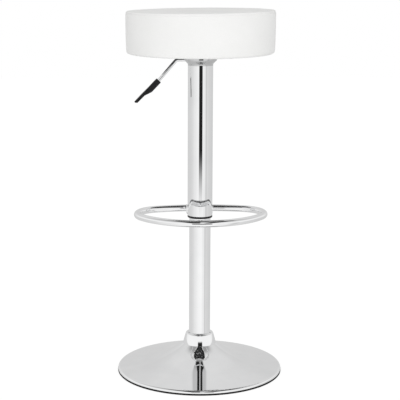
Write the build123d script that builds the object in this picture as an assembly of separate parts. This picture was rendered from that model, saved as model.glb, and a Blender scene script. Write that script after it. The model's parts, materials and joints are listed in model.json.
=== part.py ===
from build123d import *
import math
import os

# Gas-lift bar stool, drawn fully raised. Millimetres, floor at Z = 0, sitter facing -Y,
# lever on the -X side.

# Base
RIM_R = 193.5            # chrome rim, outer radius
RIM_CORNER = 6.0         # rounding between the cone and the upright rim
RIM_SIDE = 1.2           # upright part of the rim
CONE_ANGLE = 13.0        # degrees below level, outer part of the trumpet
TRUMPET_R = 170.0        # hollow arc from the land down to the cone
SHELL_WALL = 2.0
LAND_R = 39.5            # flat land in the middle that carries the column
LAND_Z = 66.0
FLOOR_RING_HEIGHT = 4.2  # rubber showing below the rim
FLOOR_RING_PROUD = 0.4   # rubber standing out past the rim
FLOOR_RING_WIDTH = 7.0
WEIGHT_R = 150.0
WEIGHT_WALL = 5.0
HUB_COVER_R = 38.5
HUB_COVER_SHOULDER_R = 32.4
HUB_COVER_SHOULDER = 23.0  # height of the shoulder above the land
HUB_COVER_BULGE = 0.4
HUB_COVER_LIP_R = 3.8    # rolled lip round the column
HUB_COVER_LIP_TURN = 150.0 # degrees the lip is rolled
HUB_COVER_WALL = 1.2

# Column, its foot and the clamping stack below
COLUMN_OD = 50.0
COLUMN_WALL = 1.5
COLUMN_LENGTH = 401.5
FOOT_HEIGHT = 18.0
NECK_R = 13.5
NECK_SPARE = 3.0         # thread showing below the nut
CLAMP_WASHER_R = 30.0
CLAMP_WASHER_HEIGHT = 3.0
LOCK_WASHER_WIDTH = 5.5
LOCK_WASHER_HEIGHT = 2.5
LOCK_WASHER_SPLIT = 3.0
CLAMP_NUT_FLATS = 41.0
CLAMP_NUT_HEIGHT = 12.0
CLIP_POCKET_R = 9.0
CLIP_POCKET_DEPTH = 9.0

# Thrust bearing on the foot
RACE_R = 17.0
RACE_HEIGHT = 2.5
BALL_R = 2.5
BALL_COUNT = 10
BALL_PITCH_R = 11.4
CAGE_HEIGHT = 2.0
CAGE_WIDTH = 8.6

# Piston rod and what it carries
ROD_R = 5.0
ROD_COLLAR_R = 9.5
ROD_COLLAR_HEIGHT = 4.0
BUFFER_R = 15.0
BUFFER_HEIGHT = 18.0
PISTON_HEIGHT = 12.0
CLIP_R = 7.8
CLIP_HEIGHT = 1.2
CLIP_GROOVE = 1.0        # depth of the clip's groove in the rod
CLIP_MOUTH = 6.0

# Guide bush, cylinder and the sleeve that travels with it
STROKE = 210.0
GUIDE_LENGTH = 65.0
GUIDE_FLANGE = 3.0
CYLINDER_R = 14.0
CYLINDER_WALL = 2.0
CYLINDER_TAIL = 30.0     # cylinder reaching below the guide bush at full height
GLAND_HEIGHT = 22.0
TAPER_DROP = 1.0         # radius lost over the cylinder's tapered top
VALVE_R = 8.0
VALVE_HEIGHT = 40.0
SLEEVE_GAP = 2.5         # air between the column and the sleeve's bore
SLEEVE_WALL = 1.5
SLEEVE_OVERLAP = 92.0    # column inside the sleeve at full height
TRAVEL_SPARE = 6.0       # air left above the guide bush at the lowest height
SLEEVE_BUSH_LIP = 5.0    # black lip showing below the sleeve
SLEEVE_BUSH_DEPTH = 30.0
SLEEVE_HEAD_HEIGHT = 14.0
SOCKET_WALL = 5.0
SOCKET_DEPTH = 38.0      # taper socket below the sleeve's top

# Footrest
FOOTREST_TUBE_R = 8.0
FOOTREST_RISE = 8.5      # tube centre above the sleeve's lower end
FOOTREST_HALF_WIDTH = 146.5
FOOTREST_CORNER_R = 62.0
FOOTREST_REAR = 40.0     # tube centre behind the column's axis
FOOTREST_FRONT = 142.0   # tube centre in front of the column's axis
FOOTREST_WIDEST = 34.0   # widest place in front of the column's axis
SADDLE_HALF_WIDTH = 31.0
SADDLE_BORDER = 0.6      # saddle standing past the tube above and below
SADDLE_PLATE_HALF_WIDTH = 20.0
SADDLE_PLATE_RISE = 17.0 # screwed part above the tube's groove
SADDLE_PLATE_FACE = 36.0 # its rear face, behind the column's axis
STRAP_WALL = 2.5
STRAP_SCREW_R = 2.5
STRAP_SCREW_DEPTH = 7.0
STRAP_SCREW_HEAD_R = 4.6
STRAP_SCREW_HEAD = 3.0
STRAP_SCREW_X = 12.0

# Seat mechanism
HOUSING_R = 38.0
HOUSING_HEIGHT = 26.4
HOUSING_NECK = 3.2       # upright part below the flare
HOUSING_BEND_R = 5.0
HOUSING_WALL = 1.5
PLATE_SIZE = 170.0
PLATE_CORNER_R = 16.0
PLATE_WALL = 2.5
LEVER_DROP = 13.8        # lever rod's axis below the plate
LEVER_ROD_R = 4.0
LEVER_PIVOT_X = 22.0     # pivot pin left of the column's axis
LEVER_NOSE = 6.0         # rod reaching past the column's axis
LEVER_BEND_X = 55.0
LEVER_BEND_R = 11.0
LEVER_SLOPE = 49.3       # degrees below level
LEVER_REACH = 62.0       # sloping length between the bend and the grip
GRIP_SLOPE = 46.5        # degrees below level, of the rod's end and the grip
LEVER_SLOT_SPARE = 1.0   # air round the rod in the housing's notch
PIVOT_PIN_R = 2.0
PIVOT_EAR_WALL = 2.0
PIVOT_EAR_HALF_LENGTH = 6.0
PIVOT_EAR_BELOW = 6.0    # ear below the rod's axis
PIVOT_PIN_SPARE = 1.0
RELEASE_PIN_R = 4.0
RELEASE_PIN_STANDOUT = 6.0
RELEASE_PIN_LENGTH = 34.0
RELEASE_PIN_DOME = 1.2

# Lever grip: barrel, slope and paddle
GRIP_MOUTH = 12.6
GRIP_BARREL = 14.0
GRIP_BARREL_LENGTH = 30.0
GRIP_SLOPE_LENGTH = 17.0
GRIP_LENGTH = 73.8
GRIP_PADDLE_WIDTH = 20.0
GRIP_PADDLE_ROOT = 7.0   # paddle thickness beside the slope
GRIP_PADDLE_END = 6.4
GRIP_TIP_LENGTH = 3.5
GRIP_ROUNDING = 0.46     # corner radius, as a share of the thickness
GRIP_BORE_DEPTH = 26.0

# Seat
SEAT_FOOT_R = 169.2
SEAT_FLARE = 1.4         # upper edge outside the foot
SEAT_SIDE_BULGE = 0.8
SEAT_EDGE_HEIGHT = 95.2
SEAT_CROWN = 6.0
SEAT_CORNER_R = 9.5
COVER_WALL = 2.0
COVER_TURN_UNDER = 30.0  # width of the cover's edge below the board
BOARD_INSET = 7.0        # padding and cover round the board
BOARD_HEIGHT = 12.0
BOARD_EDGE_R = 4.0       # rounding of the board's lower edge inside the cover
DUST_COVER_INSET = 16.0  # cloth's edge inside the seat's foot
DUST_COVER_WALL = 1.0
SEAT_BOLT_X = 62.0
SEAT_BOLT_R = 4.0
SEAT_BOLT_HEAD = 4.5
SEAT_BOLT_FLATS = 13.0
SEAT_WASHER_R = 8.5
SEAT_WASHER_HEIGHT = 1.6
TEE_NUT_BARREL_R = 5.2
TEE_NUT_FLANGE_R = 11.0
TEE_NUT_FLANGE = 1.5
TEE_NUT_DEPTH = 10.0

# Clearances
RUN = 0.1                # running fits on the radius
EASE = 0.3               # loose fits and soft pieces
BALL_PLAY = 0.05
PIN_GAP = 0.3            # release pin to lever at rest
THREAD_HOLE = 0.4        # bolt holes over the bolt's radius

# Levels and radii that follow
COLUMN_R = COLUMN_OD / 2
COLUMN_BORE = COLUMN_R - COLUMN_WALL
COLUMN_TOP = LAND_Z + COLUMN_LENGTH
SLEEVE_BORE = COLUMN_R + SLEEVE_GAP
SLEEVE_R = SLEEVE_BORE + SLEEVE_WALL
SLEEVE_BOTTOM = COLUMN_TOP - SLEEVE_OVERLAP
SLEEVE_TOP = COLUMN_TOP + GUIDE_FLANGE + STROKE + TRAVEL_SPARE + SOCKET_DEPTH
PLATE_BOTTOM = SLEEVE_TOP + HOUSING_HEIGHT
PLATE_TOP = PLATE_BOTTOM + PLATE_WALL
BOARD_BOTTOM = PLATE_TOP + DUST_COVER_WALL
BOARD_TOP = BOARD_BOTTOM + BOARD_HEIGHT
SEAT_BOTTOM = BOARD_BOTTOM - COVER_WALL
SEAT_EDGE_R = SEAT_FOOT_R + SEAT_FLARE
COVER_LIP_R = SEAT_FOOT_R - COVER_TURN_UNDER
BOARD_R = SEAT_FOOT_R - BOARD_INSET
DUST_COVER_R = SEAT_FOOT_R - DUST_COVER_INSET
LEVER_Z = PLATE_BOTTOM - LEVER_DROP
RELEASE_PIN_TOP = LEVER_Z - LEVER_ROD_R - PIN_GAP
CYLINDER_TOP = RELEASE_PIN_TOP - RELEASE_PIN_STANDOUT
CYLINDER_BOTTOM = COLUMN_TOP - GUIDE_LENGTH - CYLINDER_TAIL
CYLINDER_BORE = CYLINDER_R - CYLINDER_WALL
SOCKET_BOTTOM = SLEEVE_TOP - SOCKET_DEPTH
SOCKET_R = CYLINDER_R + SOCKET_WALL
FOOTREST_Z = SLEEVE_BOTTOM + FOOTREST_RISE
SADDLE_HALF_HEIGHT = FOOTREST_TUBE_R + SADDLE_BORDER
STRAP_SCREW_Z = FOOTREST_Z + SADDLE_HALF_HEIGHT + SADDLE_PLATE_RISE / 2

# Clamping stack under the land, downwards
NECK_HOLE_R = NECK_R + EASE
WEIGHT_TOP = LAND_Z - SHELL_WALL
CLAMP_WASHER_TOP = WEIGHT_TOP - WEIGHT_WALL
LOCK_WASHER_TOP = CLAMP_WASHER_TOP - CLAMP_WASHER_HEIGHT
CLAMP_NUT_TOP = LOCK_WASHER_TOP - LOCK_WASHER_HEIGHT
NECK_BOTTOM = CLAMP_NUT_TOP - CLAMP_NUT_HEIGHT - NECK_SPARE

# Bearing stack on the foot, upwards
FOOT_TOP = LAND_Z + FOOT_HEIGHT
BALL_Z = FOOT_TOP + RACE_HEIGHT + BALL_PLAY + BALL_R
UPPER_RACE_Z = BALL_Z + BALL_R + BALL_PLAY
ROD_COLLAR_Z = UPPER_RACE_Z + RACE_HEIGHT
BUFFER_Z = ROD_COLLAR_Z + ROD_COLLAR_HEIGHT
PISTON_Z = CYLINDER_BOTTOM + GLAND_HEIGHT + TRAVEL_SPARE / 2
CLIP_Z = NECK_BOTTOM + CLIP_POCKET_DEPTH - CLIP_HEIGHT - EASE

# The trumpet's section: an arc from the land runs into the cone, and that into the rim's rounding
CONE_TURN = math.radians(CONE_ANGLE)
CONE_UP = Vector(math.sin(CONE_TURN), math.cos(CONE_TURN))
CONE_OUT = Vector(math.cos(CONE_TURN), -math.sin(CONE_TURN))
LAND_EDGE = Vector(LAND_R, LAND_Z)
RIM_SIDE_TOP = FLOOR_RING_HEIGHT + RIM_SIDE
RIM_CENTRE = Vector(RIM_R - RIM_CORNER, RIM_SIDE_TOP)
CONE_LEVEL = RIM_CENTRE.dot(CONE_UP) + RIM_CORNER
LAND_OVER_CONE = LAND_EDGE.dot(CONE_UP) - CONE_LEVEL
TRUMPET_RUN = math.sqrt(LAND_OVER_CONE * (2 * TRUMPET_R - LAND_OVER_CONE))
TRUMPET_CENTRE = CONE_UP * (CONE_LEVEL + TRUMPET_R) + CONE_OUT * (LAND_EDGE.dot(CONE_OUT) + TRUMPET_RUN)


def turned(*outline):
    """Solid of revolution about Z from a closed outline in radius and height."""
    return revolve(Plane.XZ * make_face(outline), Axis.Z)


def ring(outer, inner, bottom, height):
    """Plain ring about Z."""
    return Pos(0, 0, bottom) * extrude(Circle(outer) - Circle(inner), amount=height)


def at_seat_bolts(piece):
    """Copies of a piece at the four bolt places of the mounting plate."""
    return [place * piece for place in GridLocations(2 * SEAT_BOLT_X, 2 * SEAT_BOLT_X, 2, 2)]


def trumpet_face(start_height, end_radius, depth):
    """Trumpet's section from a height near the land out to a radius, a depth below the polished face."""
    radius = TRUMPET_R + depth
    start_turn = math.acos((TRUMPET_CENTRE.Y - start_height) / radius)
    middle_turn = (start_turn + CONE_TURN) / 2
    start, middle, run_out = (
        TRUMPET_CENTRE - Vector(math.sin(turn), math.cos(turn)) * radius
        for turn in (start_turn, middle_turn, CONE_TURN)
    )
    end = run_out + CONE_OUT * ((end_radius - run_out.X) / CONE_OUT.X)
    return Wire([ThreePointArc(start, middle, run_out), Line(run_out, end)])


def rim_corner(face, depth):
    """Rounding from the end of such a face down to the rim's upright side."""
    return TangentArc(face @ 1, (RIM_R - depth, RIM_SIDE_TOP), tangent=CONE_OUT)


def base_shell():
    """Chromed trumpet of sheet steel with a turned-down rim."""
    inner_corner = RIM_CORNER - SHELL_WALL
    top = trumpet_face(LAND_Z, RIM_CENTRE.X + RIM_CORNER * CONE_UP.X, 0)
    under = trumpet_face(LAND_Z - SHELL_WALL, RIM_CENTRE.X + inner_corner * CONE_UP.X, SHELL_WALL)
    corner_top = rim_corner(top, 0)
    corner_under = rim_corner(under, SHELL_WALL)
    edge = Polyline(
        corner_top @ 1,
        (RIM_R, FLOOR_RING_HEIGHT),
        (RIM_R - SHELL_WALL, FLOOR_RING_HEIGHT),
        corner_under @ 1,
    )
    land = Polyline(
        under @ 0,
        (NECK_HOLE_R, LAND_Z - SHELL_WALL),
        (NECK_HOLE_R, LAND_Z),
        top @ 0,
    )
    return turned(top, corner_top, edge, corner_under, under, land)


def floor_ring():
    """Rubber ring pressed up inside the rim; the stool stands on it."""
    outer = RIM_R + FLOOR_RING_PROUD
    inner = outer - FLOOR_RING_WIDTH
    rim_bore = RIM_R - SHELL_WALL
    rib_top = RIM_SIDE_TOP - RUN
    section = make_face(
        Polyline(
            (inner, 0),
            (outer, 0),
            (outer, FLOOR_RING_HEIGHT),
            (rim_bore, FLOOR_RING_HEIGHT),
            (rim_bore, rib_top),
            (inner, rib_top),
            close=True,
        )
    )
    section = chamfer(section.vertices().group_by(Axis.Y)[0], FLOOR_RING_PROUD)
    return revolve(Plane.XZ * section, Axis.Z)


def base_weight():
    """Dished cast disc clamped under the land, following the trumpet."""
    depth = SHELL_WALL + EASE
    top = trumpet_face(WEIGHT_TOP, WEIGHT_R, depth)
    under = trumpet_face(CLAMP_WASHER_TOP, WEIGHT_R, depth + WEIGHT_WALL)
    hub = Polyline(
        under @ 0, (NECK_HOLE_R, CLAMP_WASHER_TOP), (NECK_HOLE_R, WEIGHT_TOP), top @ 0
    )
    return turned(top, Line(top @ 1, under @ 1), under, hub)


def hub_cover():
    """Bell with a rolled lip that hides the column's joint with the base."""
    shoulder = (HUB_COVER_SHOULDER_R, LAND_Z + HUB_COVER_SHOULDER)
    side = SagittaArc((HUB_COVER_R, LAND_Z), shoulder, -HUB_COVER_BULGE)
    lip = JernArc(side @ 1, side % 1, HUB_COVER_LIP_R, HUB_COVER_LIP_TURN)
    section = make_face(offset(side + lip, HUB_COVER_WALL, side=Side.LEFT))
    section -= Pos(COLUMN_R / 2, LAND_Z) * Rectangle(COLUMN_R, COLUMN_LENGTH)
    section -= Pos(LAND_R / 2, LAND_Z - SHELL_WALL / 2) * Rectangle(LAND_R, SHELL_WALL)
    return revolve(Plane.XZ * section, Axis.Z)


def column_tube():
    return ring(COLUMN_R, COLUMN_BORE, LAND_Z, COLUMN_LENGTH)


def column_foot():
    """Plug welded in the column's lower end, with the hollow threaded neck."""
    pocket_top = NECK_BOTTOM + CLIP_POCKET_DEPTH
    chamfer_size = NECK_SPARE / 2
    return turned(
        Polyline(
            (ROD_R + RUN, FOOT_TOP),
            (COLUMN_BORE, FOOT_TOP),
            (COLUMN_BORE, LAND_Z),
            (NECK_R, LAND_Z),
            (NECK_R, NECK_BOTTOM + chamfer_size),
            (NECK_R - chamfer_size, NECK_BOTTOM),
            (CLIP_POCKET_R, NECK_BOTTOM),
            (CLIP_POCKET_R, pocket_top),
            (ROD_R + RUN, pocket_top),
            close=True,
        )
    )


def clamp_washer():
    bottom = CLAMP_WASHER_TOP - CLAMP_WASHER_HEIGHT
    return ring(CLAMP_WASHER_R, NECK_HOLE_R, bottom, CLAMP_WASHER_HEIGHT)


def lock_washer():
    """Split spring washer."""
    outer = NECK_HOLE_R + LOCK_WASHER_WIDTH
    bottom = LOCK_WASHER_TOP - LOCK_WASHER_HEIGHT
    split = Pos(outer, 0, bottom) * Box(
        2 * outer, LOCK_WASHER_SPLIT, 4 * LOCK_WASHER_HEIGHT
    )
    return ring(outer, NECK_HOLE_R, bottom, LOCK_WASHER_HEIGHT) - split


def clamp_nut():
    """Large hexagon nut with a chamfered underside."""
    bottom = CLAMP_NUT_TOP - CLAMP_NUT_HEIGHT
    flats_r = CLAMP_NUT_FLATS / 2
    corner_r = flats_r / math.cos(math.pi / 6)
    hexagon = extrude(RegularPolygon(flats_r, 6, major_radius=False), amount=CLAMP_NUT_HEIGHT)
    hexagon = Pos(0, 0, bottom) * (hexagon - extrude(Circle(NECK_R), amount=CLAMP_NUT_HEIGHT))
    turned_blank = turned(
        Polyline(
            (0, bottom),
            (flats_r, bottom),
            (corner_r, bottom + (corner_r - flats_r) / 2),
            (corner_r, CLAMP_NUT_TOP),
            (0, CLAMP_NUT_TOP),
            close=True,
        )
    )
    return hexagon & turned_blank


def guide_bush():
    """Plastic bush in the column's top that guides the cylinder."""
    body = ring(COLUMN_BORE, CYLINDER_R + RUN, COLUMN_TOP - GUIDE_LENGTH, GUIDE_LENGTH)
    flange = ring(COLUMN_R, CYLINDER_R + RUN, COLUMN_TOP, GUIDE_FLANGE)
    return body + flange


def lower_race():
    return ring(RACE_R, ROD_R + EASE, FOOT_TOP, RACE_HEIGHT)


def upper_race():
    return ring(RACE_R, ROD_R, UPPER_RACE_Z, RACE_HEIGHT)


def ball_places():
    return PolarLocations(BALL_PITCH_R, BALL_COUNT)


def bearing_balls():
    ball = Sphere(BALL_R)
    return [Pos(0, 0, BALL_Z) * place * ball for place in ball_places()]


def ball_cage():
    """Flat plastic ring with a pocket for each ball."""
    inner = BALL_PITCH_R - CAGE_WIDTH / 2
    cage = ring(inner + CAGE_WIDTH, inner, BALL_Z - CAGE_HEIGHT / 2, CAGE_HEIGHT)
    pocket = Cylinder(BALL_R + BALL_PLAY, 2 * CAGE_HEIGHT)
    for place in ball_places():
        cage -= Pos(0, 0, BALL_Z) * place * pocket
    return cage


def piston_rod():
    """Polished rod: clip groove at the tail, collar on the bearing, piston end above."""
    tail = NECK_BOTTOM + CLIP_POCKET_DEPTH / 3
    groove_r = ROD_R - CLIP_GROOVE
    return turned(
        Polyline(
            (0, tail),
            (ROD_R, tail),
            (ROD_R, CLIP_Z),
            (groove_r, CLIP_Z),
            (groove_r, CLIP_Z + CLIP_HEIGHT),
            (ROD_R, CLIP_Z + CLIP_HEIGHT),
            (ROD_R, ROD_COLLAR_Z),
            (ROD_COLLAR_R, ROD_COLLAR_Z),
            (ROD_COLLAR_R, BUFFER_Z),
            (ROD_R, BUFFER_Z),
            (ROD_R, PISTON_Z + PISTON_HEIGHT),
            (0, PISTON_Z + PISTON_HEIGHT),
            close=True,
        )
    )


def rod_clip():
    """Spring clip sprung sideways into the rod's groove."""
    groove_r = ROD_R - CLIP_GROOVE
    mouth = Pos(CLIP_R, 0, CLIP_Z) * Box(2 * CLIP_R, CLIP_MOUTH, 4 * CLIP_HEIGHT)
    return ring(CLIP_R, groove_r, CLIP_Z, CLIP_HEIGHT) - mouth


def buffer():
    """Rubber stop above the bearing."""
    block = ring(BUFFER_R, ROD_R, BUFFER_Z, BUFFER_HEIGHT)
    rim = block.edges().filter_by(GeomType.CIRCLE).group_by(SortBy.RADIUS)[-1]
    return fillet(rim, BUFFER_R / 6)


def piston():
    """Piston with a ring groove round its middle."""
    body = ring(CYLINDER_BORE - RUN, ROD_R, PISTON_Z, PISTON_HEIGHT)
    groove_depth = CYLINDER_WALL / 2
    groove = ring(
        CYLINDER_BORE, CYLINDER_BORE - groove_depth, PISTON_Z + PISTON_HEIGHT / 3, PISTON_HEIGHT / 3
    )
    return body - groove


def cylinder_taper(height):
    """Outer radius of the cylinder's tapered top at a height."""
    share = (height - SOCKET_BOTTOM) / (CYLINDER_TOP - SOCKET_BOTTOM)
    return CYLINDER_R - TAPER_DROP * share


def gas_cylinder():
    """Pressure tube with its tapered upper end, bored for the valve."""
    shoulder = CYLINDER_TOP - VALVE_HEIGHT
    return turned(
        Polyline(
            (CYLINDER_R, CYLINDER_BOTTOM),
            (CYLINDER_R, SOCKET_BOTTOM),
            (cylinder_taper(CYLINDER_TOP), CYLINDER_TOP),
            (VALVE_R, CYLINDER_TOP),
            (VALVE_R, shoulder),
            (CYLINDER_BORE, shoulder - CYLINDER_WALL),
            (CYLINDER_BORE, CYLINDER_BOTTOM),
            close=True,
        )
    )


def rod_gland():
    return ring(CYLINDER_BORE, ROD_R + RUN, CYLINDER_BOTTOM, GLAND_HEIGHT)


def valve_body():
    return ring(VALVE_R, RELEASE_PIN_R + RUN, CYLINDER_TOP - VALVE_HEIGHT, VALVE_HEIGHT)


def release_pin():
    """Button of the gas spring's valve, domed on top."""
    side_top = RELEASE_PIN_TOP - RELEASE_PIN_DOME
    bottom = RELEASE_PIN_TOP - RELEASE_PIN_LENGTH
    dome_r = (RELEASE_PIN_R**2 + RELEASE_PIN_DOME**2) / (2 * RELEASE_PIN_DOME)
    dome = RadiusArc((0, RELEASE_PIN_TOP), (RELEASE_PIN_R, side_top), dome_r)
    side = Polyline(
        dome @ 1, (RELEASE_PIN_R, bottom), (0, bottom), (0, RELEASE_PIN_TOP)
    )
    return turned(dome, side)


def taper_socket():
    """Welded socket that the cylinder's taper wedges into."""
    top = SLEEVE_TOP + HOUSING_WALL
    return turned(
        Polyline(
            (CYLINDER_R, SOCKET_BOTTOM),
            (SOCKET_R, SOCKET_BOTTOM),
            (SOCKET_R, top),
            (cylinder_taper(top), top),
            close=True,
        )
    )


def sleeve_tube():
    return ring(SLEEVE_R, SLEEVE_BORE, SLEEVE_BOTTOM, SLEEVE_TOP - SLEEVE_BOTTOM)


def sleeve_head():
    """Ring that joins the sleeve's top to the taper socket."""
    bottom = SLEEVE_TOP - SLEEVE_HEAD_HEIGHT
    return ring(SLEEVE_BORE, SOCKET_R, bottom, SLEEVE_HEAD_HEIGHT)


def sleeve_bush():
    """Black bush running on the column; its lip closes the sleeve's lower end."""
    bore = COLUMN_R + RUN
    body = ring(SLEEVE_BORE, bore, SLEEVE_BOTTOM, SLEEVE_BUSH_DEPTH)
    lip = ring(SLEEVE_R, bore, SLEEVE_BOTTOM - SLEEVE_BUSH_LIP, SLEEVE_BUSH_LIP)
    lip = chamfer(lip.edges().group_by(Axis.Z)[0].sort_by(SortBy.RADIUS)[-1], SLEEVE_WALL / 2)
    return body + lip


def footrest_arc_r(depth):
    """Radius of the long arc that lies a depth before or behind the widest place."""
    side_x = FOOTREST_HALF_WIDTH - FOOTREST_CORNER_R
    return (side_x**2 + depth**2 - FOOTREST_CORNER_R**2) / (2 * (depth - FOOTREST_CORNER_R))


def footrest_ring():
    """Closed loop of tube: a rear arc, a front arc and two rounder side arcs, all tangent."""
    side_x = FOOTREST_HALF_WIDTH - FOOTREST_CORNER_R
    rear_depth = FOOTREST_REAR + FOOTREST_WIDEST
    front_depth = FOOTREST_FRONT - FOOTREST_WIDEST
    rear_r = footrest_arc_r(rear_depth)
    front_r = footrest_arc_r(front_depth)
    rear_angle = math.asin(side_x / (rear_r - FOOTREST_CORNER_R))
    front_angle = math.asin(side_x / (front_r - FOOTREST_CORNER_R))
    rear_end = Vector(rear_r * math.sin(rear_angle), FOOTREST_REAR - rear_r * (1 - math.cos(rear_angle)))
    front_end = Vector(
        front_r * math.sin(front_angle), front_r * (1 - math.cos(front_angle)) - FOOTREST_FRONT
    )
    widest = Vector(FOOTREST_HALF_WIDTH, -FOOTREST_WIDEST)
    rear = ThreePointArc((-rear_end.X, rear_end.Y), (0, FOOTREST_REAR), rear_end)
    right = ThreePointArc(rear_end, widest, front_end)
    front = ThreePointArc(front_end, (0, -FOOTREST_FRONT), (-front_end.X, front_end.Y))
    left = ThreePointArc((-front_end.X, front_end.Y), (-widest.X, widest.Y), rear @ 0)
    path = Pos(0, 0, FOOTREST_Z) * Wire([rear, right, front, left])
    section = Plane(path @ 0, z_dir=path % 0) * Circle(FOOTREST_TUBE_R)
    return sweep(section, path)


def strap_screw_places(face_y):
    """The two strap screws' places on an upright face, pointing to the rear."""
    plane = Plane((0, face_y, STRAP_SCREW_Z), x_dir=(-1, 0, 0), z_dir=(0, 1, 0))
    return [plane * Pos(x, 0, 0) for x in (-STRAP_SCREW_X, STRAP_SCREW_X)]


def footrest_saddle(tube):
    """Cast bracket on the back of the sleeve, grooved for the footrest tube."""
    depth = FOOTREST_REAR - SLEEVE_BORE / 2
    arms = Pos(0, FOOTREST_REAR - depth / 2, FOOTREST_Z) * Box(
        2 * SADDLE_HALF_WIDTH, depth, 2 * SADDLE_HALF_HEIGHT
    )
    arms = fillet(arms.edges().filter_by(Axis.Z).group_by(Axis.Y)[0], SADDLE_BORDER)
    plate_depth = depth - FOOTREST_REAR + SADDLE_PLATE_FACE
    plate_z = FOOTREST_Z + SADDLE_HALF_HEIGHT
    plate = Pos(0, SADDLE_PLATE_FACE - plate_depth / 2, plate_z + SADDLE_PLATE_RISE / 2) * Box(
        2 * SADDLE_PLATE_HALF_WIDTH, plate_depth, SADDLE_PLATE_RISE
    )
    plate = fillet(plate.edges().filter_by(Axis.Y).group_by(Axis.Z)[-1], SADDLE_PLATE_RISE / 3)
    sleeve = Pos(0, 0, FOOTREST_Z) * Cylinder(SLEEVE_R, SLEEVE_TOP - SLEEVE_BOTTOM)
    saddle = arms + plate - sleeve - tube
    for place in strap_screw_places(SADDLE_PLATE_FACE):
        saddle -= place * Pos(0, 0, -STRAP_SCREW_DEPTH / 2) * Cylinder(
            STRAP_SCREW_R, STRAP_SCREW_DEPTH
        )
    return saddle


def footrest_strap(tube):
    """Bent strap over the back of the tube, screwed to the saddle above it."""
    outer_r = FOOTREST_TUBE_R + STRAP_WALL
    flange_top = FOOTREST_Z + SADDLE_HALF_HEIGHT + SADDLE_PLATE_RISE
    flange_bottom = FOOTREST_Z + SADDLE_HALF_HEIGHT
    hoop = Plane.YZ * Pos(FOOTREST_REAR, FOOTREST_Z) * Circle(outer_r)
    hoop = extrude(hoop, amount=SADDLE_PLATE_HALF_WIDTH, both=True)
    rear_half = Pos(0, FOOTREST_REAR + outer_r / 2, FOOTREST_Z) * Box(
        2 * SADDLE_PLATE_HALF_WIDTH, outer_r, 2 * outer_r
    )
    flange = Pos(0, SADDLE_PLATE_FACE + STRAP_WALL / 2, (flange_top + flange_bottom) / 2) * Box(
        2 * SADDLE_PLATE_HALF_WIDTH, STRAP_WALL, SADDLE_PLATE_RISE
    )
    flange = fillet(flange.edges().filter_by(Axis.Y).group_by(Axis.Z)[-1], SADDLE_PLATE_RISE / 3)
    web_depth = FOOTREST_REAR - SADDLE_PLATE_FACE + STRAP_WALL
    web = Pos(0, SADDLE_PLATE_FACE + web_depth / 2, flange_bottom + STRAP_WALL / 2) * Box(
        2 * SADDLE_PLATE_HALF_WIDTH, web_depth, STRAP_WALL
    )
    strap = (hoop & rear_half) + flange + web - tube
    for place in strap_screw_places(SADDLE_PLATE_FACE):
        strap -= place * Cylinder(STRAP_SCREW_R + RUN, 4 * STRAP_WALL)
    return strap


def footrest_screws():
    """Two pan-head screws through the strap into the saddle."""
    shank_length = STRAP_SCREW_DEPTH + STRAP_WALL
    shank = Pos(0, 0, STRAP_WALL - shank_length / 2) * Cylinder(STRAP_SCREW_R, shank_length)
    head = Pos(0, 0, STRAP_WALL + STRAP_SCREW_HEAD / 2) * Cylinder(
        STRAP_SCREW_HEAD_R, STRAP_SCREW_HEAD
    )
    head = fillet(head.edges().group_by(Axis.Z)[-1], STRAP_SCREW_HEAD / 2)
    recess = Pos(0, 0, STRAP_WALL + STRAP_SCREW_HEAD / 2) * extrude(
        RegularPolygon(STRAP_SCREW_R / 2, 6), amount=STRAP_SCREW_HEAD
    )
    screw = shank + head - recess
    return [place * screw for place in strap_screw_places(SADDLE_PLATE_FACE)]


def housing_outline(inset):
    """Flared housing seen in half section, a given distance inside its polished face."""
    turn = inset * math.tan(math.pi / 8)
    flare = HOUSING_R - SLEEVE_R
    neck_top = SLEEVE_TOP + HOUSING_NECK
    return FilletPolyline(
        (SLEEVE_R - inset, SLEEVE_TOP + inset),
        (SLEEVE_R - inset, neck_top + turn),
        (HOUSING_R - inset, neck_top + flare + turn),
        (HOUSING_R - inset, PLATE_BOTTOM),
        radius=HOUSING_BEND_R,
    )


def bell_housing():
    """Chromed flare between the sleeve and the plate, notched for the lever."""
    outer = housing_outline(0)
    inner = housing_outline(HOUSING_WALL)
    floor = Polyline(
        inner @ 0,
        (SOCKET_R, SLEEVE_TOP + HOUSING_WALL),
        (SOCKET_R, SLEEVE_TOP),
        outer @ 0,
    )
    bell = turned(outer, Line(outer @ 1, inner @ 1), inner, floor)
    notch_half = LEVER_ROD_R + LEVER_SLOT_SPARE
    notch_bottom = LEVER_Z - notch_half
    notch_height = PLATE_BOTTOM - notch_bottom
    notch = Pos(-HOUSING_R, 0, notch_bottom + notch_height / 2) * Box(
        HOUSING_R, 2 * notch_half, notch_height
    )
    notch = fillet(notch.edges().filter_by(Axis.X).group_by(Axis.Z)[0], LEVER_ROD_R)
    return bell - notch


def mount_plate():
    outline = RectangleRounded(PLATE_SIZE, PLATE_SIZE, PLATE_CORNER_R)
    for hole in at_seat_bolts(Circle(SEAT_BOLT_R + THREAD_HOLE)):
        outline -= hole
    return Pos(0, 0, PLATE_BOTTOM) * extrude(outline, amount=PLATE_WALL)


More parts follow.
